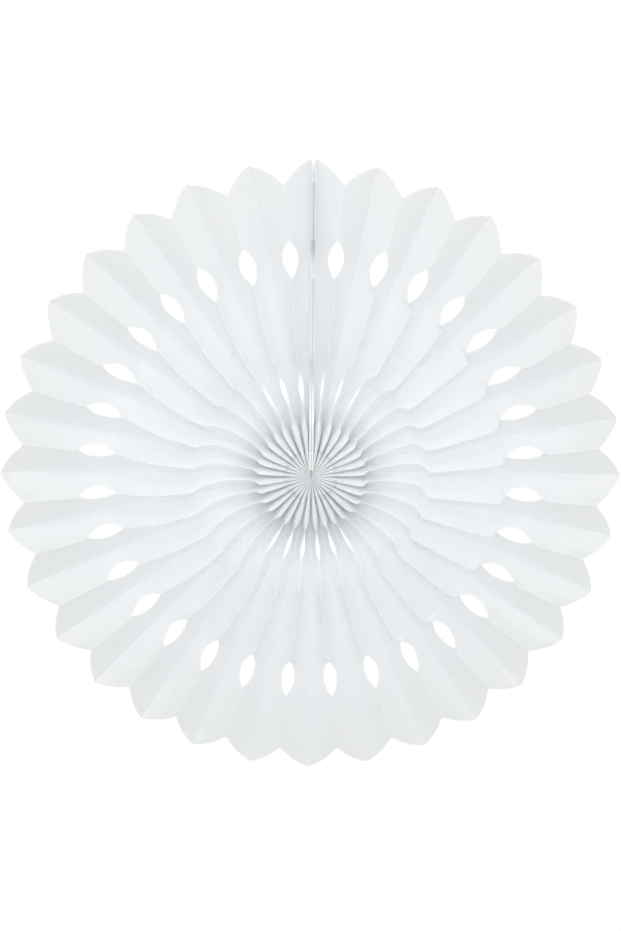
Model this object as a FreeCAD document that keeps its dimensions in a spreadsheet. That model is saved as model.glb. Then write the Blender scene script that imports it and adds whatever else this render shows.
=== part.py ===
import FreeCAD, Part
import math
import os

import Sketcher

# A pleated and die-cut tissue fan, opened through a full turn into a rosette of petals. It hangs upright: the
# disc lies in the XZ plane, its front faces -Y, the seam stands at +Z, and the origin is the hub's centre.

# Driving dimensions in millimetres, and one count.
DIMENSIONS = (
    ("tip_radius", 200, "hub centre to a petal's tip"),
    ("petal_length", 13.5, "notch between two petals to their tips, along the radius"),
    ("petal_rounding", 1.6, "how far a petal's edge stands out from a straight line"),
    ("hub_radius", 4, "hub centre to the inner edge of the leaves"),
    ("petal_count", 32, "number of petals, each of two leaves"),
    ("leaf_slack", 0.4, "how much wider a leaf is than the gap that it spans at the tips"),
    ("tissue_thickness", 0.15, "thickness of the folded tissue"),
    ("fold_sag", 4, "how far the front folds sag between the cut-outs"),
    ("rim_cut_gap", 35.5, "notch between two petals to the outer end of a rim cut-out"),
    ("rim_cut_length", 24, "length of a rim cut-out along its fold"),
    ("rim_cut_depth", 7.4, "depth of a rim cut-out into the leaf, from its front fold"),
    ("hub_cut_start", 34, "hub centre to the inner end of a hub cut-out"),
    ("hub_cut_length", 42, "length of a hub cut-out along its fold"),
    ("hub_cut_depth", 7.2, "depth of a hub cut-out into the leaf, from its front fold"),
    ("nick_start", 15, "hub centre to the inner end of the small nick in each front fold"),
    ("nick_length", 2.4, "length of a nick along its fold"),
    ("nick_depth", 1, "depth of a nick into the leaf, from its front fold"),
    ("card_thickness", 1.2, "thickness of an end card"),
    ("tip_splay", 1.3, "how far each card's tip bends away from the other card"),
    ("splay_length", 7, "length of the bent tip of a card"),
    ("tape_thickness", 0.2, "thickness of the adhesive strip between the cards"),
    ("tape_margin", 1.5, "edges of the strip to the back edge and to the cut-outs of the cards"),
    ("tape_start", 14, "hub centre to the strip's inner end"),
    ("tape_end_gap", 9, "outer end of the strip to the bent tips of the cards"),
    ("thread_inset", 2, "inner edge of the leaves to the middle of the thread"),
    ("thread_diameter", 0.8, "diameter of the thread"),
    ("thread_clearance", 0.1, "between the thread and the edge of its punched hole"),
)

# How many flat facets stand for each stretch of a leaf, from the hub to the tip.
HUB_FACETS = 2
NICK_FACETS = 2
CUT_FACETS = 6
PLAIN_FACETS = 2
PETAL_FACETS = 3
# Points nearer than this are one point, and a leaf that lacks less than this share of its width is whole.
SAME_POINT = 1e-6
# A leaf's width, from a front fold to a back fold, and an end card's front and back edges, as expressions.
LEAF_WIDTH = "(2 * Sizes.tip_radius * sin(90 deg / Sizes.petal_count) + Sizes.leaf_slack)"
CARD_FRONT = f"-{LEAF_WIDTH} / 2"
CARD_BACK = f"{LEAF_WIDTH} / 2"


def make_size_sheet(doc):
    """The spreadsheet that holds the driving dimensions, one row each."""
    sheet = doc.addObject("Spreadsheet::Sheet", "Sizes")
    for row, (name, value, meaning) in enumerate(DIMENSIONS, start=1):
        sheet.set(f"A{row}", name)
        sheet.set(f"B{row}", str(value))
        sheet.setAlias(f"B{row}", name)
        sheet.set(f"C{row}", meaning)
    doc.recompute()
    return sheet


class Size:
    """The sheet's cells as plain numbers, with the few places that several pieces share."""

    def __init__(self, sheet):
        for name, _, _ in DIMENSIONS:
            setattr(self, name, float(sheet.get(name)))
        self.petal_count = int(self.petal_count)
        self.leaf_width = 2 * self.tip_radius * math.sin(math.pi / 2 / self.petal_count) + self.leaf_slack
        self.notch_radius = self.tip_radius - self.petal_length
        self.rim_cut_end = self.notch_radius - self.rim_cut_gap
        self.rim_cut_start = self.rim_cut_end - self.rim_cut_length
        self.hub_cut_end = self.hub_cut_start + self.hub_cut_length
        self.nick_end = self.nick_start + self.nick_length
        self.splay_start = self.tip_radius - self.splay_length

    def card_face(self, radius):
        """Distance from the seam's middle plane to the outer face of an end card."""
        bent = max(0.0, (radius - self.splay_start) / self.splay_length)
        return self.tape_thickness / 2 + self.card_thickness + self.tip_splay * bent


def smooth_step(share):
    """Rises from 0 to 1 as share does, level at both ends."""
    share = min(1.0, max(0.0, share))
    return share * share * (3 - 2 * share)


def oval_depth(radius, start, length, depth):
    """Depth of a pointed-oval cut-out at this radius, nought outside it."""
    along = 2 * (radius - start) / length - 1
    return max(0.0, depth * (1 - along * along))


def petal_share(size, radius):
    """Share of a leaf's width left by the petal's edge: all of it up to the notch, none at the tip."""
    rise = (radius - size.notch_radius) / size.petal_length
    if rise <= 0:
        return 1.0
    bulge = 4 * size.petal_rounding / size.petal_length
    root = math.sqrt((1 + bulge) ** 2 - 4 * bulge * min(1.0, rise))
    return 1 - (1 + bulge - root) / (2 * bulge)


class Station:
    """The folded sheet at one radius: how far apart and how deep its folds are, what is left of a leaf."""

    def __init__(self, size, radius):
        self.radius = radius
        self.card_face = size.card_face(radius)
        self.seam_angle = math.atan2(self.card_face, radius)
        self.leaf_angle = (math.pi - self.seam_angle) / size.petal_count
        self.pitch = 2 * radius * math.sin(self.leaf_angle / 2)
        self.depth = math.sqrt(size.leaf_width**2 - self.pitch**2) / 2
        self.wall = self.wall_height(size.tissue_thickness)
        cut = oval_depth(radius, size.rim_cut_start, size.rim_cut_length, size.rim_cut_depth)
        cut += oval_depth(radius, size.hub_cut_start, size.hub_cut_length, size.hub_cut_depth)
        cut += oval_depth(radius, size.nick_start, size.nick_length, size.nick_depth)
        self.share = petal_share(size, radius) * (1 - cut / size.leaf_width)
        rising = smooth_step((radius - size.hub_cut_start) / size.hub_cut_length)
        falling = smooth_step((size.rim_cut_end - radius) / size.rim_cut_length)
        self.sag = size.fold_sag * rising * falling

    def wall_height(self, thickness):
        """Front to back size of the tissue in a leaf, which stands the steeper the nearer the hub is."""
        narrow = self.pitch**2 - thickness**2
        half = self.depth * 2 * thickness**2
        steep = thickness**2 * (self.pitch**2 + 4 * self.depth**2)
        return (math.sqrt(half**2 + narrow * steep) - half) / narrow

    def fold_plan(self, fold, fold_count):
        """X and Z of a fold. Folds 0 and fold_count are the back edges of the end cards."""
        if fold in (0, fold_count):
            side = 1 if fold == 0 else -1
            return side * self.card_face, self.radius
        angle = self.seam_angle + fold * self.leaf_angle
        sideways = self.sag * math.sin(angle) if fold % 2 else 0.0
        x = self.radius * math.sin(angle) + sideways * math.cos(angle)
        z = self.radius * math.cos(angle) - sideways * math.sin(angle)
        return x, z


def between(first, last, share):
    """The point at this share of the way from the first point to the last."""
    return first + (last - first) * share


def leaf_points(size, station, back_fold, front_fold):
    """Corners of one leaf at a station: its front skin's back and front ends, then its back skin's."""
    fold_count = 2 * size.petal_count
    back_x, back_z = station.fold_plan(back_fold, fold_count)
    front_x, front_z = station.fold_plan(front_fold, fold_count)
    rear_back = FreeCAD.Vector(back_x, station.depth, back_z)
    face_back = FreeCAD.Vector(back_x, station.depth - station.wall, back_z)
    rear_front = FreeCAD.Vector(front_x, station.wall - station.depth, front_z)
    face_front = FreeCAD.Vector(front_x, -station.depth, front_z)
    if back_fold in (0, fold_count):
        rear_back, face_back = seam_fold_points(size, station, back_fold)
    ends = (face_back, between(face_back, face_front, station.share))
    return ends + (rear_back, between(rear_back, rear_front, station.share))


def seam_fold_points(size, station, fold):
    """The fold at a card's back edge: its outer corner on the card, its inner corner one thickness away."""
    x, z = station.fold_plan(fold, 2 * size.petal_count)
    side = math.copysign(1.0, x)
    slope = (size.leaf_width / 2 + station.depth) / station.pitch
    inner_y = size.leaf_width / 2 - station.wall - slope * size.tissue_thickness
    outer = FreeCAD.Vector(x, size.leaf_width / 2, z)
    inner = FreeCAD.Vector(x + side * size.tissue_thickness, inner_y, z)
    return outer, inner


def end_leaf_points(size, station, fold):
    """Corners of an end leaf, glued flat on its card from the back edge forwards, in leaf_points' order."""
    outer, inner = seam_fold_points(size, station, fold)
    front_y = size.leaf_width / 2 - station.share * size.leaf_width
    outer_front = FreeCAD.Vector(outer.x, front_y, outer.z)
    inner_front = FreeCAD.Vector(inner.x, min(front_y, inner.y), inner.z)
    return inner, inner_front, outer, outer_front


def patch(corners):
    """Flat triangles between four corners, or one triangle where two corners are one point."""
    first, second, third, fourth = corners
    faces = []
    for points in ((first, second, third), (first, third, fourth)):
        sides = zip(points, points[1:] + points[:1])
        if all((end - start).Length > SAME_POINT for start, end in sides):
            faces.append(Part.Face(Part.makePolygon(list(points) + [points[0]])))
    return faces


def leaf_faces(rows, stations, free_front):
    """Faces of one leaf: two skins, its inner end, and the cut edge wherever the front fold is cut away."""
    first = rows[0]
    faces = patch((first[0], first[1], first[3], first[2]))
    for low, high, start, end in zip(rows, rows[1:], stations, stations[1:]):
        faces += patch((low[0], low[1], high[1], high[0]))
        faces += patch((low[2], low[3], high[3], high[2]))
        if free_front or 1 - min(start.share, end.share) > SAME_POINT:
            faces += patch((low[1], low[3], high[3], high[1]))
    return faces


def station_radii(size):
    """Radii from the inner edge to the tips at which the sheet's facets meet."""
    radii = []
    stretches = (
        (size.hub_radius, size.nick_start, HUB_FACETS),
        (size.nick_start, size.nick_end, NICK_FACETS),
        (size.nick_end, size.hub_cut_start, 1),
        (size.hub_cut_start, size.hub_cut_end, CUT_FACETS),
        (size.hub_cut_end, size.rim_cut_start, PLAIN_FACETS),
        (size.rim_cut_start, size.rim_cut_end, CUT_FACETS),
        (size.rim_cut_end, size.notch_radius, PLAIN_FACETS),
        (size.notch_radius, size.tip_radius, PETAL_FACETS),
    )
    for start, end, count in stretches:
        radii += [start + (end - start) * step / count for step in range(count)]
    radii = sorted(radii + [size.splay_start, size.tip_radius])
    apart = [end - start > SAME_POINT for start, end in zip(radii, radii[1:])]
    return [radius for radius, keep in zip(radii, apart + [True]) if keep]


def folded_sheet_shape(size):
    """The whole tissue strip, pleated, die-cut and opened, as one closed solid."""
    fold_count = 2 * size.petal_count
    stations = [Station(size, radius) for radius in station_radii(size)]
    faces = []
    for leaf in range(fold_count):
        back_fold = leaf + leaf % 2
        front_fold = leaf + 1 - leaf % 2
        rows = [leaf_points(size, station, back_fold, front_fold) for station in stations]
        faces += leaf_faces(rows, stations, False)
    for fold in (0, fold_count):
        rows = [end_leaf_points(size, station, fold) for station in stations]
        faces += leaf_faces(rows, stations, True)
    skin = Part.makeCompound(faces)
    skin.sewShape()
    solid = Part.makeSolid(skin.Shells[0])
    if solid.Volume < 0:
        solid.reverse()
    return solid


def thread_channel_shape(size):
    """The ring that the punched holes leave free for the hub thread, square in section."""
    reach = size.thread_diameter / 2 + size.thread_clearance
    ring_radius = size.hub_radius + size.thread_inset
    outer, inner = (fold_prism(size, radius, reach) for radius in (ring_radius + reach, ring_radius - reach))
    return outer.cut(inner)


def fold_prism(size, radius, reach):
    """A prism with a corner in every fold's plane, reaching this far to the front and to the back."""
    station = Station(size, radius)
    corners = []
    for fold in range(2 * size.petal_count + 1):
        angle = station.seam_angle + fold * station.leaf_angle
        corners.append(FreeCAD.Vector(radius * math.sin(angle), -reach, radius * math.cos(angle)))
    return Part.Face(Part.makePolygon(corners + corners[:1])).extrude(FreeCAD.Vector(0, 2 * reach, 0))


def make_tissue_fan(doc, size):
    """The pleated tissue, with a hole punched in every leaf where the hub thread runs."""
    fan = doc.addObject("Part::Feature", "tissue_fan")
    fan.Shape = folded_sheet_shape(size).cut(thread_channel_shape(size)).Solids[0]
    return fan


def origin_plane(body, role):
    """The body's own origin plane with this role."""
    return next(plane for plane in body.Origin.OriginFeatures if plane.Role == role)


def new_sketch(body, name, role):
    """An empty sketch on one of the body's origin planes."""
    sketch = body.newObject("Sketcher::SketchObject", name)
    sketch.AttachmentSupport = (origin_plane(body, role), "")
    sketch.MapMode = "FlatFace"
    return sketch


def draw_outline(sketch, corners, arcs=None):
    """A closed outline through corners given as expressions. arcs maps the number of a side that curves,
    always anticlockwise, to its middle point and radius."""
    arcs = arcs or {}
    points = [sketch_point(sketch, corner) for corner in corners]
    for index, start in enumerate(points):
        following = (index + 1) % len(points)
        if index in arcs:
            middle, radius = arcs[index]
            side = sketch.addGeometry(Part.Arc(start, sketch_point(sketch, middle), points[following]), False)
            bind(sketch, ("Radius", side), radius)
        else:
            side = sketch.addGeometry(Part.LineSegment(start, points[following]), False)
        for end, corner in ((1, corners[index]), (2, corners[following])):
            bind(sketch, ("DistanceX", -1, 1, side, end), corner[0])
            bind(sketch, ("DistanceY", -1, 1, side, end), corner[1])


def sketch_point(sketch, corner):
    """The point that a pair of expressions gives now."""
    return FreeCAD.Vector(sketch.evalExpression(corner[0]), sketch.evalExpression(corner[1]), 0)


def bind(sketch, constraint, expression):
    """Adds one sized constraint and ties it to the expression."""
    value = sketch.evalExpression(expression)
    index = sketch.addConstraint(Sketcher.Constraint(*constraint, value))
    sketch.setExpression(f"Constraints[{index}]", expression)


def cut_through(body, sketch, name):
    """Cuts the sketch's outline right through the body, to both sides."""
    pocket = body.newObject("PartDesign::Pocket", name)
    pocket.Profile = sketch
    pocket.Type = "ThroughAll"
    pocket.SideType = "Symmetric"
    sketch.Visibility = False
    return pocket


def arc_radius(chord, rise):
    """Expression for the radius of an arc over a chord, with this rise at its middle."""
    return f"(({chord}) ^ 2 / 4 + ({rise}) ^ 2) / (2 * ({rise}))"


def make_end_card(doc, name, side):
    """A stiff card with the leaves' die-cut outline, edge-on beside the seam. side is + or - for X."""
    body = doc.addObject("PartDesign::Body", name)
    pad_card_blank(body, name, side)
    notch = "(Sizes.tip_radius - Sizes.petal_length)"
    rim_cut_end = f"({notch} - Sizes.rim_cut_gap)"
    cut_card_oval(body, f"{name}_rim_cut", f"({rim_cut_end} - Sizes.rim_cut_length)", "rim_cut")
    cut_card_oval(body, f"{name}_hub_cut", "Sizes.hub_cut_start", "hub_cut")
    cut_card_oval(body, f"{name}_nick", "Sizes.nick_start", "nick")
    cut_petal_edge(body, f"{name}_petal_edge", notch)
    body.Tip = cut_thread_hole(body, f"{name}_thread_hole")
    return body


def pad_card_blank(body, name, side):
    """The uncut card: from the front a strip with its tip bent outwards, as deep as a leaf is wide."""
    inner = "(Sizes.tape_thickness / 2)"
    outer = "(Sizes.tape_thickness / 2 + Sizes.card_thickness)"
    bend = "Sizes.tip_radius - Sizes.splay_length"
    corners = [
        (f"{side}{inner}", "Sizes.hub_radius"),
        (f"{side}{outer}", "Sizes.hub_radius"),
        (f"{side}{outer}", bend),
        (f"{side}({outer} + Sizes.tip_splay)", "Sizes.tip_radius"),
        (f"{side}({inner} + Sizes.tip_splay)", "Sizes.tip_radius"),
        (f"{side}{inner}", bend),
    ]
    sketch = new_sketch(body, f"{name}_edge_on", "XZ_Plane")
    draw_outline(sketch, corners)
    blank = body.newObject("PartDesign::Pad", f"{name}_blank")
    blank.Profile = sketch
    blank.SideType = "Symmetric"
    blank.setExpression("Length", LEAF_WIDTH)
    sketch.Visibility = False


def cut_card_oval(body, name, start, cut):
    """Half of a pointed oval out of the card's front edge, from start outwards. cut names its dimensions."""
    length = f"Sizes.{cut}_length"
    depth = f"Sizes.{cut}_depth"
    corners = [(CARD_FRONT, f"{start} + {length}"), (CARD_FRONT, start)]
    middle = (f"{CARD_FRONT} + {depth}", f"{start} + {length} / 2")
    sketch = new_sketch(body, name, "YZ_Plane")
    draw_outline(sketch, corners, {1: (middle, arc_radius(length, depth))})
    cut_through(body, sketch, f"{name}_pocket")


def cut_petal_edge(body, name, notch):
    """The outer edge: a shallow arc from the notch at the front edge to the tip at the back edge."""
    chord = f"sqrt({LEAF_WIDTH} ^ 2 + Sizes.petal_length ^ 2)"
    rise = f"(Sizes.petal_rounding * {LEAF_WIDTH} / {chord})"
    middle = (
        f"-{rise} * Sizes.petal_length / {chord}",
        f"{notch} + Sizes.petal_length / 2 + {rise} * {LEAF_WIDTH} / {chord}",
    )
    corners = [(CARD_BACK, "Sizes.tip_radius"), (CARD_FRONT, notch), (CARD_FRONT, "Sizes.tip_radius")]
    sketch = new_sketch(body, name, "YZ_Plane")
    draw_outline(sketch, corners, {0: (middle, arc_radius(chord, rise))})
    cut_through(body, sketch, f"{name}_pocket")


def cut_thread_hole(body, name):
    """The hole that the ring of hub thread passes through, swept along that ring."""
    reach = "(Sizes.thread_diameter / 2 + Sizes.thread_clearance)"
    ring_radius = "(Sizes.hub_radius + Sizes.thread_inset)"
    corners = [
        (f"-{reach}", f"{ring_radius} - {reach}"),
        (reach, f"{ring_radius} - {reach}"),
        (reach, f"{ring_radius} + {reach}"),
        (f"-{reach}", f"{ring_radius} + {reach}"),
    ]
    sketch = new_sketch(body, name, "YZ_Plane")
    draw_outline(sketch, corners)
    groove = body.newObject("PartDesign::Groove", f"{name}_groove")
    groove.Profile = sketch
    groove.ReferenceAxis = (sketch, ["H_Axis"])
    groove.Angle = 360
    sketch.Visibility = False
    return groove


def make_joining_tape(doc):
    """The adhesive strip between the two end cards, behind their cut-outs."""
    tape = doc.addObject("Part::Box", "joining_tape")
    clear_width = f"({LEAF_WIDTH} - max(Sizes.rim_cut_depth; Sizes.hub_cut_depth))"
    bend = "(Sizes.tip_radius - Sizes.splay_length)"
    tape.setExpression("Length", "Sizes.tape_thickness")
    tape.setExpression("Width", f"{clear_width} - 2 * Sizes.tape_margin")
    tape.setExpression("Height", f"{bend} - Sizes.tape_end_gap - Sizes.tape_start")
    tape.setExpression("Placement.Base.x", "-Sizes.tape_thickness / 2")
    tape.setExpression("Placement.Base.y", f"{CARD_BACK} - {clear_width} + Sizes.tape_margin")
    tape.setExpression("Placement.Base.z", "Sizes.tape_start")
    return tape


def make_hub_thread(doc):
    """The loop of thread that gathers the leaves round the hub, straight from petal to petal."""
    thread = doc.addObject("Part::Cut", "hub_thread")
    thread.Base = thread_prism(doc, "hub_thread_outside", "+")
    thread.Tool = thread_prism(doc, "hub_thread_inside", "-")
    return thread


def thread_prism(doc, name, sign):
    """A prism across the hub that bounds the thread, on its outside with sign +, on its inside with -."""
    prism = doc.addObject("Part::Prism", name)
    prism.setExpression("Polygon", "Sizes.petal_count")
    ring_radius = "Sizes.hub_radius + Sizes.thread_inset"
    prism.setExpression("Circumradius", f"{ring_radius} {sign} Sizes.thread_diameter / 2")
    prism.setExpression("Height", "Sizes.thread_diameter")
    prism.setExpression("Placement.Base.y", "Sizes.thread_diameter / 2")
    prism.Placement.Rotation = FreeCAD.Rotation(FreeCAD.Vector(1, 0, 0), 90)
    prism.Visibility = False
    return prism


def check_and_write(doc, pieces):
    """Stops if anything failed to build, then writes each piece to its own file."""
    for thing in doc.Objects:
        if "Invalid" in thing.State or "Error" in thing.State:
            raise RuntimeError(f"{thing.Label} failed to build")
    for piece in pieces:
        if piece.Shape.isNull() or not piece.Shape.isValid():
            raise RuntimeError(f"{piece.Label} has no valid shape")
    os.makedirs("parts", exist_ok=True)
    for piece in pieces:
        piece.Shape.exportStep(f"parts/{piece.Label}.step")
        print(f"{piece.Label}: {len(piece.Shape.Solids)} solid, {piece.Shape.Volume:.1f} mm3")


doc = FreeCAD.newDocument("paper_fan_rosette")
size = Size(make_size_sheet(doc))
pieces = [
    make_tissue_fan(doc, size),
    make_end_card(doc, "end_card_left", "-"),
    make_end_card(doc, "end_card_right", "+"),
    make_joining_tape(doc),
    make_hub_thread(doc),
]
doc.recompute()
check_and_write(doc, pieces)
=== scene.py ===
import math
import random

import bmesh
import bpy
from mathutils import Matrix, Vector, noise


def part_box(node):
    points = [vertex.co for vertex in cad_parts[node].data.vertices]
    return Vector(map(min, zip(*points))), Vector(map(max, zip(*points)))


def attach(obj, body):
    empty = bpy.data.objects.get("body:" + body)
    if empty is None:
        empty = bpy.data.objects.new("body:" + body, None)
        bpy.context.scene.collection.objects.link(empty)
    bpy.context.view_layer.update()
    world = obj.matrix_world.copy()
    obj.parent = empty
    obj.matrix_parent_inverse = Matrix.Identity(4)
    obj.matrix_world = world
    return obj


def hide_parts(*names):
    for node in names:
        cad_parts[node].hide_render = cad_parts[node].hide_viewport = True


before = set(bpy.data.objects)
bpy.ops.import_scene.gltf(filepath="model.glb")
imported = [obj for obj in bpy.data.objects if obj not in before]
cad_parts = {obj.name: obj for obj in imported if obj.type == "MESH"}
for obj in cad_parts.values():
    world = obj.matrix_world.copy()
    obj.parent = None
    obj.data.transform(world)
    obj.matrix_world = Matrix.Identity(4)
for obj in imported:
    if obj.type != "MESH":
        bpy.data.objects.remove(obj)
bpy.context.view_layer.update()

# The pleated tissue. One long strip of thin white tissue, pleated, die-cut as a stack with petals, pointed
# ovals and small nicks, then opened through a full turn, so each cut shows on every second fold. Between the
# cuts the free front folds hang down a little, on the right more sharply than on the left.
MM = 0.001
TAPE_LOW, TAPE_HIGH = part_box("joining_tape")
CARD_LOW, CARD_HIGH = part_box("end_card_right")

PETALS = 32
FOLDS = 2 * PETALS
TIP_RADIUS = CARD_HIGH.z
HUB_RADIUS = CARD_LOW.z
LEAF_WIDTH = CARD_HIGH.y - CARD_LOW.y
PETAL_LENGTH = 13.5 * MM
PETAL_ROUNDING = 1.6 * MM
NOTCH_RADIUS = TIP_RADIUS - PETAL_LENGTH
RIM_CUT_END = NOTCH_RADIUS - 35.5 * MM
RIM_CUT_START = RIM_CUT_END - 24 * MM
RIM_CUT_DEPTH = 7.4 * MM
HUB_CUT_START = 34 * MM
HUB_CUT_END = HUB_CUT_START + 42 * MM
HUB_CUT_DEPTH = 7.2 * MM
NICK_START = 15 * MM
NICK_END = NICK_START + 2.4 * MM
NICK_DEPTH = 1 * MM
TAPE_THICKNESS = TAPE_HIGH.x - TAPE_LOW.x
CARD_THICKNESS = 1.2 * MM
SPLAY_START = TIP_RADIUS - 7 * MM
TIP_SPLAY = CARD_HIGH.x - TAPE_HIGH.x - CARD_THICKNESS
THREAD_RADIUS = 0.4 * MM
THREAD_RING = HUB_RADIUS + 2 * MM
PUNCH_REACH = THREAD_RADIUS + 0.1 * MM
SAME_SHARE = 1e-6
MERGE_DISTANCE = 0.001 * MM

TISSUE_THICKNESS = 0.1 * MM
MOST_WALL = 5 * MM
GATHERED_RADIUS = 0.4 * MM
CLOSED_RADIUS = 3.4 * MM
CLOSED_SHARE = 0.1
FOLD_ROUND = 0.35 * MM
FOLD_LIFT = 0.12 * MM
LEAST_TIP = 0.6
LOOSE_START = 40 * MM
LOOSE_FULL = 90 * MM
BELLY = 0.3
BELLY_START = 20 * MM
RIGHT_SAG = 5.2 * MM
RIGHT_SAG_START = 68 * MM
RIGHT_SAG_FULL = 78 * MM
RIGHT_SAG_FADE = 3 * MM
LEFT_SAG = 3 * MM
LEFT_SAG_START = 44 * MM
LEFT_SAG_FULL = 82 * MM
LEFT_SAG_FADE = 32 * MM
HUB_SAG = 1.6 * MM
HUB_SAG_START = 8 * MM
HUB_SAG_FULL = 32 * MM
HUB_SAG_END = 37 * MM
RIM_SAG = 1.8 * MM
RIM_SAG_RISE = 4 * MM
SAG_SPREAD = 0.55
SEED = 32
TURN_DEGREES = 0.28
DEPTH_RANGE = (0.93, 1.05)
SAG_RANGE = (0.8, 1.15)
LOOP_RANGE = (0.82, 1)
HUB_TURNING = 4
HUB_TURNING_START = 6 * MM
HUB_TURNING_FULL = 14 * MM
HUB_LOOP = 0.88
LOOPS_FULL = 26 * MM
LOOPS_END = 42 * MM
LOOP_HEIGHT = 2
LOOP_COLUMN = 0.71
LIP_ABOVE = 0.4 * MM
LIP_BELOW = 1.1 * MM
RIM_BOW = 0.4
CREASE_PINCH = 0.3 * MM
CREASE_COLUMN = 0.05
WRINKLE = 0.22 * MM
WRINKLE_START = 30 * MM
WRINKLE_FULL = 80 * MM
WRINKLE_SCALE = 70
WRINKLE_LEAF_STEP = 1.7
FINE_WRINKLE = 0.4
FINE_WRINKLE_SCALE = 2.7
LEAF_COLUMNS = (0, CREASE_COLUMN, 0.22, 0.475, 0.525, LOOP_COLUMN, 0.87, 0.95)
PUNCHED_COLUMN = 3
RIM_LIFT = 1.1 * MM
RIM_DRAWN_IN = 0.9 * MM
RIM_SHIFT_REACH = 14 * MM
RIM_SHUT = 0.16
RIM_SHUT_UPRIGHT = (0.6, 0.95)
SLIT_SHUT = 0.96
SLIT_OPEN = 0.2
SLIT_OPEN_UPRIGHT = (0.8, 0.93)
SLIT_NARROWER = 0.35
SLIT_NARROWER_SIDE = (-0.1, 0.1)
SLIT_NARROWER_UPRIGHT = (0, 0.9)
SLIT_MIDDLE_TOP = 56.5 * MM
SLIT_MIDDLE_BOTTOM = 48.5 * MM
SLIT_REACH = 10 * MM


def smooth_step(share):
    """Rises from 0 to 1 as share does, level at both ends."""
    share = min(1.0, max(0.0, share))
    return share * share * (3 - 2 * share)


def rise(value, start, end):
    """0 before start, 1 after end."""
    return smooth_step((value - start) / (end - start))


def fall(value, start, end):
    """1 before start, 0 after end."""
    return rise(-value, -end, -start)


def oval_depth(radius, start, end, depth):
    """Depth of a pointed-oval cut-out at this radius."""
    along = 2 * (radius - start) / (end - start) - 1
    return max(0.0, depth * (1 - along * along))


def petal_share(radius):
    """Share of a leaf's width left by the petal's edge."""
    climb = (radius - NOTCH_RADIUS) / PETAL_LENGTH
    if climb <= 0:
        return 1.0
    bulge = 4 * PETAL_ROUNDING / PETAL_LENGTH
    root = math.sqrt((1 + bulge) ** 2 - 4 * bulge * min(1.0, climb))
    return 1 - (1 + bulge - root) / (2 * bulge)


def cut_share(radius):
    """Share of a leaf's width that is left at this radius, from the back fold forwards."""
    cut = oval_depth(radius, RIM_CUT_START, RIM_CUT_END, RIM_CUT_DEPTH)
    cut += oval_depth(radius, HUB_CUT_START, HUB_CUT_END, HUB_CUT_DEPTH)
    cut += oval_depth(radius, NICK_START, NICK_END, NICK_DEPTH)
    share = petal_share(radius) * (1 - cut / LEAF_WIDTH)
    return share if share < 1 - SAME_SHARE else 1.0


def card_face(radius):
    """Distance from the seam's middle plane to the outer face of an end card."""
    bent = max(0.0, (radius - SPLAY_START) / (TIP_RADIUS - SPLAY_START))
    return TAPE_THICKNESS / 2 + CARD_THICKNESS + TIP_SPLAY * bent


def fold_sag(radius, angle):
    """How far a front fold hangs down: sharp jogs at the cut-outs on the right, gentle curves on the left."""
    side = rise(math.sin(angle), -0.5, 0.5)
    sharp = RIGHT_SAG * rise(radius, RIGHT_SAG_START, RIGHT_SAG_FULL)
    sharp *= fall(radius, RIM_CUT_START - RIGHT_SAG_FADE, RIM_CUT_START)
    soft = LEFT_SAG * rise(radius, LEFT_SAG_START, LEFT_SAG_FULL)
    soft *= fall(radius, RIM_CUT_START - LEFT_SAG_FADE, RIM_CUT_START)
    at_hub = HUB_SAG * rise(radius, HUB_SAG_START, HUB_SAG_FULL) * fall(radius, HUB_CUT_START, HUB_SAG_END)
    at_rim = RIM_SAG * rise(radius, RIM_CUT_END, RIM_CUT_END + RIM_SAG_RISE)
    at_rim *= fall(radius, RIM_CUT_END, NOTCH_RADIUS)
    amount = sharp * side + soft * (1 - side) + (at_hub + at_rim) * (0.5 + 0.5 * side)
    return math.copysign(amount * abs(math.sin(angle)) ** SAG_SPREAD, math.sin(angle))


seeded = random.Random(SEED)
FOLD_TURN = [math.radians(seeded.uniform(-TURN_DEGREES, TURN_DEGREES)) for _ in range(FOLDS + 1)]
FOLD_DEPTH = [seeded.uniform(*DEPTH_RANGE) for _ in range(FOLDS + 1)]
FOLD_SAG = [seeded.uniform(*SAG_RANGE) for _ in range(FOLDS + 1)]
LEAF_LOOP = [HUB_LOOP * seeded.uniform(*LOOP_RANGE) for _ in range(FOLDS)]


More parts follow.
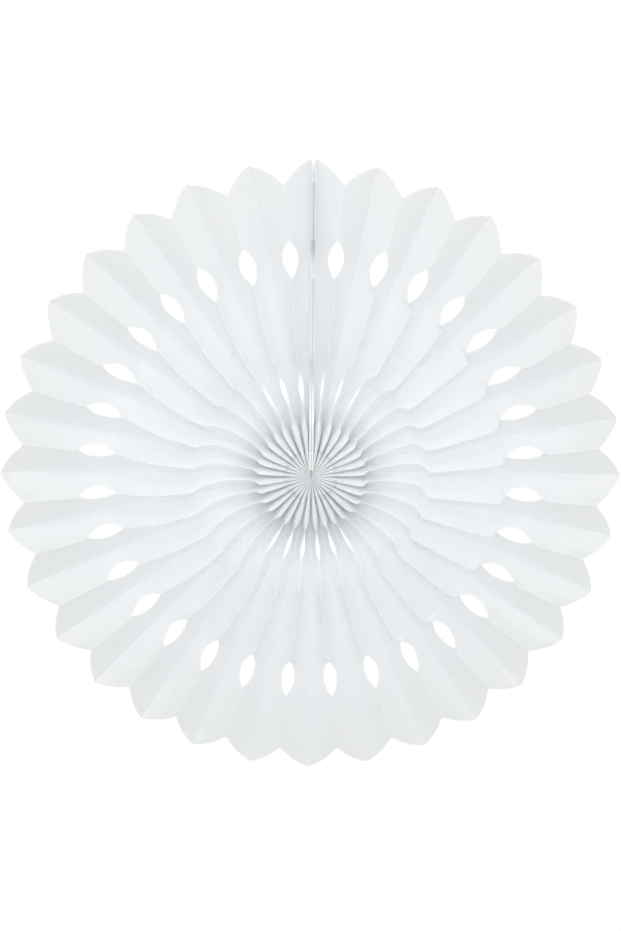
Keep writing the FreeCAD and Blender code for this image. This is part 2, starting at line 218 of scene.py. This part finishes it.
class Ring:
    """The opened sheet at one radius."""

    def __init__(self, radius):
        self.radius = radius
        opened = rise(radius, CLOSED_RADIUS, HUB_RADIUS)
        self.card_face = card_face(radius) * (CLOSED_SHARE + (1 - CLOSED_SHARE) * opened)
        self.seam_angle = math.atan2(self.card_face, radius)
        self.leaf_angle = (math.pi - self.seam_angle) / PETALS
        self.pitch = 2 * radius * math.sin(self.leaf_angle / 2)
        self.depth = math.sqrt(LEAF_WIDTH**2 - self.pitch**2) / 2
        self.wall = min(MOST_WALL, TISSUE_THICKNESS * LEAF_WIDTH / self.pitch)
        self.petal = petal_share(radius)
        self.share = cut_share(radius)
        self.loose = rise(radius, LOOSE_START, LOOSE_FULL)
        self.looped = fall(radius, LOOPS_FULL, LOOPS_END)
        at_hub = HUB_TURNING * self.looped * rise(radius, HUB_TURNING_START, HUB_TURNING_FULL)
        self.turning = self.loose + at_hub

    def fold(self, number):
        """A fold's point on the front skin, with its own small turn and depth."""
        if number in (0, FOLDS):
            x = self.card_face if number == 0 else -self.card_face
            return Vector((x, LEAF_WIDTH / 2 - self.wall, self.radius))
        angle = self.seam_angle + number * self.leaf_angle + FOLD_TURN[number] * self.turning
        depth = self.depth * (1 + (FOLD_DEPTH[number] - 1) * self.loose)
        y = -depth if number % 2 else depth - self.wall
        return Vector((self.radius * math.sin(angle), y, self.radius * math.cos(angle)))

    def hang(self, number):
        """The shift of a front fold that hangs down, along the ring."""
        angle = self.seam_angle + number * self.leaf_angle
        along = Vector((math.cos(angle), 0, -math.sin(angle)))
        return along * fold_sag(self.radius, angle) * FOLD_SAG[number]

    def loop(self, column, width):
        """Sideways and forward shares of a point on a leaf that loops widely round its front fold."""
        if column < LOOP_COLUMN:
            return (1 - width) * column / LOOP_COLUMN, column
        turn = math.pi / 2 * (1 - column) / (1 - LOOP_COLUMN)
        height = LOOP_HEIGHT * width * self.pitch / (2 * self.depth)
        return 1 - width * math.sin(turn), 1 - height * (1 - math.cos(turn))

    def across(self, column, back, front, loop_width):
        """A point of the front skin between two folds. The sheet bellies between its pinched back fold and
        its rounded front fold. Near the hub it stands in wide loops."""
        if column == 1:
            return front.copy()
        tip = max(LEAST_TIP, 1 - FOLD_ROUND / self.pitch)
        belly = BELLY * rise(self.radius, BELLY_START, LOOSE_FULL)
        belly *= fall(self.radius, RIM_CUT_START, RIM_CUT_END)
        pinch = self.loose * CREASE_PINCH / (2 * self.depth)
        bow = RIM_BOW * rise(self.radius, RIM_CUT_START, RIM_CUT_END)
        climb = (1 - belly) * column + belly * column**3 + bow * column * (1 - column)
        climb += pinch * (1 - column) * min(1, column / CREASE_COLUMN)
        looped_across, looped_climb = self.loop(column, loop_width)
        sideways = column * tip + (looped_across - column * tip) * self.looped
        climb += (looped_climb - climb) * self.looped
        place = back.lerp(front, sideways)
        place.y = back.y + (front.y + FOLD_LIFT - back.y) * climb
        return place


def cut_closing(angle, radius):
    """How far the edges of a cut-out lean together: a little at the rim. At the hub only a short part stays
    open, at the top and the bottom, and least of all to the right of the seam."""
    upright = math.cos(angle)
    if radius > RIM_CUT_START:
        return RIM_SHUT * fall(upright, *RIM_SHUT_UPRIGHT)
    middle = SLIT_MIDDLE_BOTTOM + (SLIT_MIDDLE_TOP - SLIT_MIDDLE_BOTTOM) * rise(upright, -1, 1)
    lens = max(0.0, 1 - ((radius - middle) / SLIT_REACH) ** 2)
    narrower = SLIT_NARROWER * rise(math.sin(angle), *SLIT_NARROWER_SIDE)
    narrower *= rise(upright, *SLIT_NARROWER_UPRIGHT)
    return SLIT_SHUT - (SLIT_SHUT - SLIT_OPEN - narrower) * lens * rise(abs(upright), *SLIT_OPEN_UPRIGHT)


def leaned(column, edge, facing_edge, closing, angle, hangs_below):
    """The shift of a leaf's cut edge towards the leaf across the cut-out. The lower leaf leans most."""
    sideways = abs(math.sin(angle))
    part = 0.5 + 0.5 * sideways if hangs_below else 0.5 - 0.5 * sideways
    return (facing_edge - edge) * closing * part * column**2


def rim_shift(ring, column, angle):
    """How far a leaf's front has moved near the rim: towards the hub, and a little up at the cut-outs."""
    outwards = Vector((math.sin(angle), 0, math.cos(angle)))
    lift = RIM_LIFT * fall(ring.radius, RIM_CUT_END, NOTCH_RADIUS)
    moved = Vector((0, 0, lift)) - outwards * RIM_DRAWN_IN
    near_rim = rise(ring.radius, RIM_CUT_START - RIM_SHIFT_REACH, RIM_CUT_START)
    return moved * near_rim * (column * ring.petal) ** 2


def lip(column, loose, angle, hangs_below):
    """How far back a leaf steps beside its front fold, so that the fold shades what is below."""
    if column < LOOP_COLUMN or column == 1:
        return Vector()
    step = LIP_BELOW if hangs_below else LIP_ABOVE
    beside = ((column - LOOP_COLUMN) / (LEAF_COLUMNS[-1] - LOOP_COLUMN)) ** 2
    return Vector((0, step * beside * loose * abs(math.sin(angle)), 0))


def wrinkled(point, leaf, strength):
    """The point moved by the soft waves that handling leaves in the tissue."""
    spot = Vector((point.x * WRINKLE_SCALE, leaf * WRINKLE_LEAF_STEP, point.z * WRINKLE_SCALE))
    wave = noise.noise(spot) + FINE_WRINKLE * noise.noise(spot * FINE_WRINKLE_SCALE)
    return point + Vector((0, wave * strength, 0))


def leaf_grid(rings, leaf):
    """Front and back skins of one leaf: rows of points from its back fold to its front fold or cut edge."""
    back_number = leaf + leaf % 2
    front_number = leaf + 1 - leaf % 2
    skins = []
    for ring in rings:
        back, front = ring.fold(back_number), ring.fold(front_number)
        fronts, rears = [], []
        edge = ring.across(ring.share, back, front, LEAF_LOOP[leaf])
        facing_back = ring.fold(2 * front_number - back_number)
        facing_edge = ring.across(ring.share, facing_back, front, LEAF_LOOP[leaf])
        angle = ring.seam_angle + front_number * ring.leaf_angle
        hangs_below = edge.z < facing_edge.z
        for column in LEAF_COLUMNS + (1,):
            reach = column * ring.share
            point = ring.across(reach, back, front, LEAF_LOOP[leaf]) + ring.hang(front_number) * reach**2
            point += lip(reach, ring.loose, angle, hangs_below) + rim_shift(ring, column, angle)
            if HUB_CUT_START < ring.radius < RIM_CUT_END:
                closing = cut_closing(angle, ring.radius)
                point += leaned(column, edge, facing_edge, closing, angle, hangs_below)
            free = 4 * column * (1 - column) * rise(ring.radius, WRINKLE_START, WRINKLE_FULL) * ring.share
            point = wrinkled(point, leaf, WRINKLE * free)
            fronts.append(point)
            rears.append(point + Vector((0, ring.wall, 0)))
        skins.append((fronts, rears))
    return skins


def end_leaf_grid(rings, side):
    """Skins of an end leaf, glued flat on its card from the back edge forwards."""
    skins = []
    for ring in rings:
        reach = LEAF_WIDTH * ring.share
        outer, inner = [], []
        for column in LEAF_COLUMNS + (1,):
            point = Vector((side * ring.card_face, LEAF_WIDTH / 2 - reach * column, ring.radius))
            inner.append(point)
            outer.append(point + Vector((side * TISSUE_THICKNESS, 0, 0)))
        skins.append((outer, inner))
    return skins


def add_skins(mesh, rings, skins, free_front):
    """Faces of a leaf: two skins, its inner end, its cut edges and the edges of its punched hole."""
    last = len(LEAF_COLUMNS)
    points = [[[mesh.verts.new(point) for point in row] for row in pair] for pair in skins]
    for column in range(last):
        mesh.faces.new([points[0][0][column], points[0][0][column + 1],
                        points[0][1][column + 1], points[0][1][column]])
    for low, high, start, end in zip(points, points[1:], rings, rings[1:]):
        punched = start.radius > THREAD_RING - 2 * PUNCH_REACH and end.radius < THREAD_RING + 2 * PUNCH_REACH
        for skin in (0, 1):
            for column in range(last):
                if not (punched and column == PUNCHED_COLUMN):
                    mesh.faces.new([low[skin][column], low[skin][column + 1],
                                    high[skin][column + 1], high[skin][column]])
        if punched:
            for column in (PUNCHED_COLUMN, PUNCHED_COLUMN + 1):
                mesh.faces.new([low[0][column], low[1][column], high[1][column], high[0][column]])
            for row in (low, high):
                mesh.faces.new([row[0][PUNCHED_COLUMN], row[0][PUNCHED_COLUMN + 1],
                                row[1][PUNCHED_COLUMN + 1], row[1][PUNCHED_COLUMN]])
        if free_front or min(start.share, end.share) < 1:
            mesh.faces.new([low[0][last], low[1][last], high[1][last], high[0][last]])


def ring_radii():
    """Radii at which the sheet is worked out, closest where its cuts and jogs are. Each mark is followed by
    the number of steps to the next one."""
    marks = (
        (GATHERED_RADIUS, 2), (CLOSED_RADIUS, 1), (HUB_RADIUS, 1),
        (THREAD_RING - PUNCH_REACH, 1), (THREAD_RING + PUNCH_REACH, 4), (NICK_START, 4), (NICK_END, 6),
        (HUB_CUT_START, 4), (HUB_CUT_START + 4 * MM, 8), (HUB_CUT_END - 16 * MM, 10), (HUB_CUT_END, 9),
        (RIM_CUT_START - 4 * MM, 5), (RIM_CUT_START, 14), (RIM_CUT_END, 8),
        (NOTCH_RADIUS, 5), (SPLAY_START, 6), (TIP_RADIUS, 0),
    )
    radii = []
    for (start, count), (end, _) in zip(marks, marks[1:]):
        radii += [start + (end - start) * step / count for step in range(count)]
    return radii + [TIP_RADIUS]


def new_piece(mesh, name, sharp_degrees):
    """A piece of the object from a bmesh: smooth, but sharp where its faces turn by more than this."""
    bmesh.ops.remove_doubles(mesh, verts=mesh.verts, dist=MERGE_DISTANCE)
    bmesh.ops.recalc_face_normals(mesh, faces=mesh.faces)
    for face in mesh.faces:
        face.smooth = True
    for edge in mesh.edges:
        edge.smooth = edge.is_manifold and edge.calc_face_angle() < math.radians(sharp_degrees)
    data = bpy.data.meshes.new(name)
    mesh.to_mesh(data)
    mesh.free()
    piece = bpy.data.objects.new(name, data)
    bpy.context.scene.collection.objects.link(piece)
    return piece


RINGS = [Ring(radius) for radius in ring_radii()]
sheet = bmesh.new()
for leaf in range(FOLDS):
    add_skins(sheet, RINGS, leaf_grid(RINGS, leaf), False)
tissue = new_piece(sheet, "pleated_tissue", sharp_degrees=28)


class Shade:
    """One socket of a material's nodes. Sums, products and the like of it add Math nodes."""

    def __init__(self, tree, socket):
        self.tree = tree
        self.socket = socket

    def node(self, kind, settings, inputs, output=0):
        """Adds a node of any type. Its settings come first, then the values or links of its sockets."""
        node = self.tree.nodes.new(kind)
        for name, value in settings.items():
            setattr(node, name, value)
        for name, value in inputs.items():
            if isinstance(value, Shade):
                self.tree.links.new(value.socket, node.inputs[name])
            else:
                node.inputs[name].default_value = value
        return Shade(self.tree, node.outputs[output])

    def maths(self, operation, *values):
        return self.node("ShaderNodeMath", {"operation": operation}, dict(enumerate(values)))

    def __add__(self, other):
        return self.maths("ADD", self, other)

    def __sub__(self, other):
        return self.maths("SUBTRACT", self, other)

    def __rsub__(self, other):
        return self.maths("SUBTRACT", other, self)

    def __mul__(self, other):
        return self.maths("MULTIPLY", self, other)

    __radd__ = __add__
    __rmul__ = __mul__

    def clip(self):
        """The value held between 0 and 1."""
        return self.node("ShaderNodeClamp", {}, {"Value": self})

    def noise(self, scale, detail, stretch=None):
        """Noise at this many bumps a metre, squeezed along the axes by stretch."""
        place = self
        if stretch:
            place = self.node("ShaderNodeVectorMath", {"operation": "MULTIPLY"}, {0: self, 1: stretch})
        return self.node("ShaderNodeTexNoise", {}, {"Vector": place, "Scale": scale, "Detail": detail})

    def blend(self, first, second):
        """A colour from the first to the second as this value goes from 0 to 1."""
        inputs = {"Factor": self.clip(), 6: first, 7: second}
        return self.node("ShaderNodeMix", {"data_type": "RGBA"}, inputs, output=2)

    def bump(self, height, distance):
        """Normals bent by this height, where 1 stands for the distance."""
        inputs = {"Height": height, "Distance": distance, "Strength": 1.0}
        return self.node("ShaderNodeBump", {}, inputs)


def new_material(name, roughness):
    """A material with one Principled shader. Returns it, the shader and the place on the object."""
    material = bpy.data.materials.new(name)
    material.use_nodes = True
    tree = material.node_tree
    shader = next(node for node in tree.nodes if node.type == "BSDF_PRINCIPLED")
    shader.inputs["Roughness"].default_value = roughness
    place = Shade(tree, None).node("ShaderNodeTexCoord", {}, {}, output="Object")
    return material, shader, place


def show(material, surface):
    """Makes this shader the material's surface."""
    output = next(node for node in material.node_tree.nodes if node.type == "OUTPUT_MATERIAL")
    surface.tree.links.new(surface.socket, output.inputs["Surface"])


def feed(shader, name, value):
    """Links a value to one of the shader's sockets."""
    value.tree.links.new(value.socket, shader.inputs[name])


TISSUE_WHITE = (0.961, 0.974, 0.984, 1)
TISSUE_THIN = (0.940, 0.956, 0.967, 1)
TISSUE_WARM = (0.966, 0.960, 0.971, 1)
TISSUE_GLOW = (0.978, 0.986, 0.991, 1)
LIGHT_THROUGH = 0.7


def tissue_material(name, light_through):
    """Thin white tissue: clouds of more and less fibre, a faint warm tint in patches, fine crinkles."""
    material, shader, place = new_material(name, 0.9)
    shader.inputs["Specular IOR Level"].default_value = 0.25
    cloud = place.noise(scale=320, detail=5)
    fibre = place.noise(scale=2400, detail=3, stretch=(1, 0.4, 1))
    patch = place.noise(scale=26, detail=2)
    thin = cloud * 0.9 + fibre * 0.5 - 0.35
    colour = thin.blend(TISSUE_WHITE, TISSUE_THIN)
    tint = ((patch - 0.5) * 3.2).clip() * 0.45
    feed(shader, "Base Color", tint.blend(colour, TISSUE_WARM))
    feed(shader, "Roughness", 0.82 + cloud * 0.14)
    crinkle = place.noise(scale=150, detail=4)
    feed(shader, "Normal", place.bump(crinkle * 0.7 + fibre * 0.12 + cloud * 0.18, distance=0.35 * MM))
    glow = place.node("ShaderNodeBsdfTranslucent", {}, {"Color": TISSUE_GLOW})
    front = Shade(place.tree, shader.outputs[0])
    show(material, front.node("ShaderNodeMixShader", {}, {0: light_through, 1: front, 2: glow}))
    return material


tissue.data.materials.append(tissue_material("white_tissue", LIGHT_THROUGH))
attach(tissue, "root")
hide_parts("tissue_fan")

# The end leaves. The first and the last leaf of the same strip, glued flat on the outer faces of the two end
# cards, so that at the seam the cards carry the whole fan. No light comes through them.
CARD_RINGS = [ring for ring in RINGS if ring.radius > HUB_RADIUS - 0.01 * MM]
glued_tissue = tissue_material("glued_tissue", light_through=0.0)
for name, side in (("end_leaf_left", -1), ("end_leaf_right", 1)):
    sheet = bmesh.new()
    add_skins(sheet, CARD_RINGS, end_leaf_grid(CARD_RINGS, side), True)
    leaf_piece = new_piece(sheet, name, sharp_degrees=28)
    leaf_piece.data.materials.append(glued_tissue)
    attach(leaf_piece, "root")

# The end cards. Two stiff white cards, die-cut with the stack, so they have the leaves' outline. They stand
# back to back at the seam, front edges towards the viewer, and their tips bend apart in a small V.
CARD_EDGE_ROUND = 0.12 * MM
CARD_COLUMNS = 12


def card_mesh(side):
    """A card as a closed plate: rows along the radius, columns from the back edge to the cut front edge."""
    plate = bmesh.new()
    rows = []
    for ring in CARD_RINGS:
        reach = LEAF_WIDTH * ring.share
        outer_x = ring.card_face
        faces = []
        for x in (side * outer_x, side * (outer_x - CARD_THICKNESS)):
            row = []
            for column in range(CARD_COLUMNS + 1):
                y = LEAF_WIDTH / 2 - reach * column / CARD_COLUMNS
                row.append(plate.verts.new((x, y, ring.radius)))
            faces.append(row)
        rows.append(faces)
    for low, high in zip(rows, rows[1:]):
        for skin in (0, 1):
            for column in range(CARD_COLUMNS):
                plate.faces.new([low[skin][column], low[skin][column + 1],
                                 high[skin][column + 1], high[skin][column]])
        for column in (0, CARD_COLUMNS):
            plate.faces.new([low[0][column], low[1][column], high[1][column], high[0][column]])
    outer, inner = rows[0]
    for column in range(CARD_COLUMNS):
        plate.faces.new([outer[column], outer[column + 1], inner[column + 1], inner[column]])
    return plate


CARD_WHITE = (0.90, 0.905, 0.91, 1)
CARD_GREY = (0.80, 0.81, 0.815, 1)


def card_material():
    """White card: smooth faces, and cut edges that show the layers it was pressed from."""
    material, shader, place = new_material("white_card", 0.72)
    shader.inputs["Specular IOR Level"].default_value = 0.35
    layers = place.noise(scale=900, detail=2, stretch=(9, 0.25, 0.25))
    fibre = place.noise(scale=1800, detail=4)
    grey = (layers - 0.55) * 2.2 + (fibre - 0.5) * 0.5
    feed(shader, "Base Color", grey.blend(CARD_WHITE, CARD_GREY))
    feed(shader, "Roughness", 0.6 + fibre * 0.25)
    feed(shader, "Normal", place.bump(layers * 0.6 + fibre * 0.4, distance=0.05 * MM))
    return material


white_card = card_material()
for name, node, side in (("card_left", "end_card_left", -1), ("card_right", "end_card_right", 1)):
    card = new_piece(card_mesh(side), name, sharp_degrees=40)
    rounding = card.modifiers.new("rounded_edges", "BEVEL")
    rounding.width = CARD_EDGE_ROUND
    rounding.segments = 2
    rounding.limit_method = "ANGLE"
    rounding.angle_limit = math.radians(60)
    card.data.materials.append(white_card)
    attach(card, "root")
    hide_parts(node)

# The joining tape. A strip of double-sided adhesive film that holds the two cards back to back, behind their
# cut-outs. Only its thin edge shows, and its ends were torn by hand.
TAPE_STEPS = 110
TAPE_COLUMNS = 6
TAPE_RAGGED = 0.3 * MM
TAPE_RAGGED_SCALE = 300
TAPE_TORN = 0.8 * MM
TAPE_TORN_SCALE = 900


def tape_mesh():
    """A thin strip whose long edges wander slightly and whose ends are torn."""
    strip = bmesh.new()
    rows = []
    for step in range(TAPE_STEPS + 1):
        share = step / TAPE_STEPS
        z = TAPE_LOW.z + (TAPE_HIGH.z - TAPE_LOW.z) * share
        ragged = TAPE_RAGGED if 0 < step < TAPE_STEPS else 0.0
        front = TAPE_LOW.y + abs(noise.noise(Vector((0, 3, z * TAPE_RAGGED_SCALE)))) * ragged
        back = TAPE_HIGH.y - abs(noise.noise(Vector((5, 0, z * TAPE_RAGGED_SCALE)))) * ragged
        row = []
        for column in range(TAPE_COLUMNS + 1):
            y = front + (back - front) * column / TAPE_COLUMNS
            torn = TAPE_TORN * abs(noise.noise(Vector((y * TAPE_TORN_SCALE, step, 0))))
            place = z + (torn if step == 0 else -torn if step == TAPE_STEPS else 0)
            row.append([strip.verts.new((side * TAPE_THICKNESS / 2, y, place)) for side in (-1, 1)])
        rows.append(row)
    for low, high in zip(rows, rows[1:]):
        for near, far, next_near, next_far in zip(low, low[1:], high, high[1:]):
            for skin in (0, 1):
                strip.faces.new([near[skin], far[skin], next_far[skin], next_near[skin]])
        for edge in (0, -1):
            strip.faces.new([low[edge][0], low[edge][1], high[edge][1], high[edge][0]])
    for row in (rows[0], rows[-1]):
        for near, far in zip(row, row[1:]):
            strip.faces.new([near[0], near[1], far[1], far[0]])
    return strip


TAPE_PALE = (0.86, 0.85, 0.80, 1)
TAPE_CLOUDY = (0.78, 0.76, 0.69, 1)


def tape_material():
    """Adhesive film: milky, with small bubbles where it didn't wet the card."""
    material, shader, place = new_material("adhesive_film", 0.45)
    bubbles = place.noise(scale=700, detail=3)
    feed(shader, "Base Color", ((bubbles - 0.45) * 4).blend(TAPE_PALE, TAPE_CLOUDY))
    feed(shader, "Roughness", 0.3 + bubbles * 0.4)
    feed(shader, "Normal", place.bump(bubbles, distance=0.03 * MM))
    return material


tape = new_piece(tape_mesh(), "joining_tape_film", sharp_degrees=40)
tape.data.materials.append(tape_material())
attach(tape, "root")
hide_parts("joining_tape")

# The hub thread. A loop of white cotton, three plies twisted together, through the punched hole in each leaf
# and each card. Pulled tight, it gathers the inner ends of the leaves round the hub.
PLIES = 3
PLY_RADIUS = 0.19 * MM
PLY_TURNS = 26
PLY_STEPS = 416
PLY_SIDES = 6


def thread_mesh():
    """Three round plies that wind about the loop."""
    loop = bmesh.new()
    offset = THREAD_RADIUS - PLY_RADIUS
    for ply in range(PLIES):
        rows = []
        for step in range(PLY_STEPS):
            angle = 2 * math.pi * step / PLY_STEPS
            twist = PLY_TURNS * angle + 2 * math.pi * ply / PLIES
            outwards = Vector((math.sin(angle), 0, math.cos(angle)))
            forwards = Vector((0, offset * math.sin(twist), 0))
            middle = outwards * (THREAD_RING + offset * math.cos(twist)) + forwards
            row = []
            for side in range(PLY_SIDES):
                turn = 2 * math.pi * side / PLY_SIDES
                reach = outwards * math.cos(turn) + Vector((0, math.sin(turn), 0))
                row.append(loop.verts.new(middle + reach * PLY_RADIUS))
            rows.append(row)
        for low, high in zip(rows, rows[1:] + rows[:1]):
            for side in range(PLY_SIDES):
                following = (side + 1) % PLY_SIDES
                loop.faces.new([low[side], low[following], high[following], high[side]])
    return loop


COTTON_WHITE = (0.90, 0.90, 0.89, 1)
COTTON_SHADE = (0.74, 0.74, 0.72, 1)


def thread_material():
    """White cotton with fine fibres."""
    material, shader, place = new_material("white_cotton", 0.95)
    fibre = place.noise(scale=9000, detail=3)
    feed(shader, "Base Color", ((fibre - 0.4) * 2).blend(COTTON_WHITE, COTTON_SHADE))
    feed(shader, "Normal", place.bump(fibre, distance=0.04 * MM))
    return material


thread = new_piece(thread_mesh(), "hub_cotton", sharp_degrees=60)
thread.data.materials.append(thread_material())
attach(thread, "root")
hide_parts("hub_thread")

# The studio. A pale floor below the fan, even light from all round, a softbox overhead, one in front and a
# narrow spot on the hub. The white behind the fan is seen only by the camera and by gloss and glass.
FLOOR_DROP = 0.75
FLOOR_SIZE = 8.0
FLOOR_SHOWS = 0.1
FLOOR_WHITE = 1.06
FLOOR_PALE = (0.74, 0.74, 0.74, 1)
ROOM_LIGHT = 0.595
LAMPS = (
    ("overhead_softbox", Vector((-0.15, -0.55, 0.95)), 0.7, 2.6),
    ("front_softbox", Vector((0.1, -1.2, 0.45)), 0.5, 2.2),
)
SPOT_PLACE = Vector((-0.05, -0.9, 0.4))
SPOT_ANGLE = math.radians(10.5)
SPOT_POWER = 26.0
SPOT_SIZE = 0.1


def seen_directly(tree):
    """1 for rays from the camera, off gloss and through glass."""
    rays = tree.nodes.new("ShaderNodeLightPath")
    names = ("Is Camera Ray", "Is Glossy Ray", "Is Transmission Ray")
    camera_ray, glossy_ray, transmission_ray = (Shade(tree, rays.outputs[name]) for name in names)
    return (camera_ray + glossy_ray + transmission_ray).clip()


floor_mesh = bmesh.new()
bmesh.ops.create_grid(floor_mesh, x_segments=8, y_segments=8, size=FLOOR_SIZE / 2)
floor = new_piece(floor_mesh, "studio_floor", sharp_degrees=30)
floor.location.z = -TIP_RADIUS - FLOOR_DROP
material, shader, place = new_material("pale_floor", 0.9)
shader.inputs["Base Color"].default_value = FLOOR_PALE
tree = material.node_tree
white = Shade(tree, None).node("ShaderNodeEmission", {}, {"Color": (1, 1, 1, 1), "Strength": FLOOR_WHITE})
shown = Shade(tree, shader.outputs[0])
mask = seen_directly(tree) * (1 - FLOOR_SHOWS)
surface = shown.node("ShaderNodeMixShader", {}, {0: mask, 1: shown, 2: white})
show(material, surface)
floor.data.materials.append(material)

room = bpy.data.worlds.new("white_room")
room.use_nodes = True
bpy.context.scene.world = room
background = next(node for node in room.node_tree.nodes if node.type == "BACKGROUND")
background.inputs["Color"].default_value = (1, 1, 1, 1)
strength = seen_directly(room.node_tree) * (1 - ROOM_LIGHT) + ROOM_LIGHT
room.node_tree.links.new(strength.socket, background.inputs["Strength"])


def hang_lamp(name, kind, place, settings):
    """A lamp at this place that faces the hub."""
    lamp_data = bpy.data.lights.new(name, kind)
    for setting, value in settings.items():
        setattr(lamp_data, setting, value)
    lamp = bpy.data.objects.new(name, lamp_data)
    lamp.location = place
    lamp.rotation_euler = (-place).to_track_quat("-Z", "Y").to_euler()
    bpy.context.scene.collection.objects.link(lamp)


for name, place, size, power in LAMPS:
    hang_lamp(name, "AREA", place, {"shape": "DISK", "size": size, "energy": power})
hub_light = {"spot_size": SPOT_ANGLE, "spot_blend": 1.0, "shadow_soft_size": SPOT_SIZE, "energy": SPOT_POWER}
hang_lamp("hub_spot", "SPOT", SPOT_PLACE, hub_light)

# The camera. In front of the fan and a little above it, as the photograph was taken.
CAMERA_DISTANCE = 1.25
CAMERA_RISE = math.radians(11.64)
CAMERA_LEAN = math.radians(3.66)
CAMERA_ROLL = math.radians(3.19)
FRAME_WIDTH = 621
FOCAL_PIXELS = 1943.4
AIM_ABOVE_HUB = 6 * MM
AIM_IN_FRONT = 4 * MM

front = Vector((0, -1, 0))
level = Vector((math.cos(CAMERA_LEAN), 0, math.sin(CAMERA_LEAN)))
lean = Vector((-math.sin(CAMERA_LEAN), 0, math.cos(CAMERA_LEAN)))
backwards = front * math.cos(CAMERA_RISE) + lean * math.sin(CAMERA_RISE)
upright = lean * math.cos(CAMERA_RISE) - front * math.sin(CAMERA_RISE)
right = level * math.cos(CAMERA_ROLL) - upright * math.sin(CAMERA_ROLL)
up = level * math.sin(CAMERA_ROLL) + upright * math.cos(CAMERA_ROLL)
camera_data = bpy.data.cameras.new("camera")
camera_data.sensor_fit = "HORIZONTAL"
camera_data.lens = camera_data.sensor_width * FOCAL_PIXELS / FRAME_WIDTH
camera = bpy.data.objects.new("camera", camera_data)
facing = Matrix((right, up, backwards)).transposed()
place = front * AIM_IN_FRONT + upright * AIM_ABOVE_HUB + backwards * CAMERA_DISTANCE
camera.matrix_world = Matrix.Translation(place) @ facing.to_4x4()
bpy.context.scene.collection.objects.link(camera)
bpy.context.scene.camera = camera
bpy.context.scene.view_settings.view_transform = "Standard"
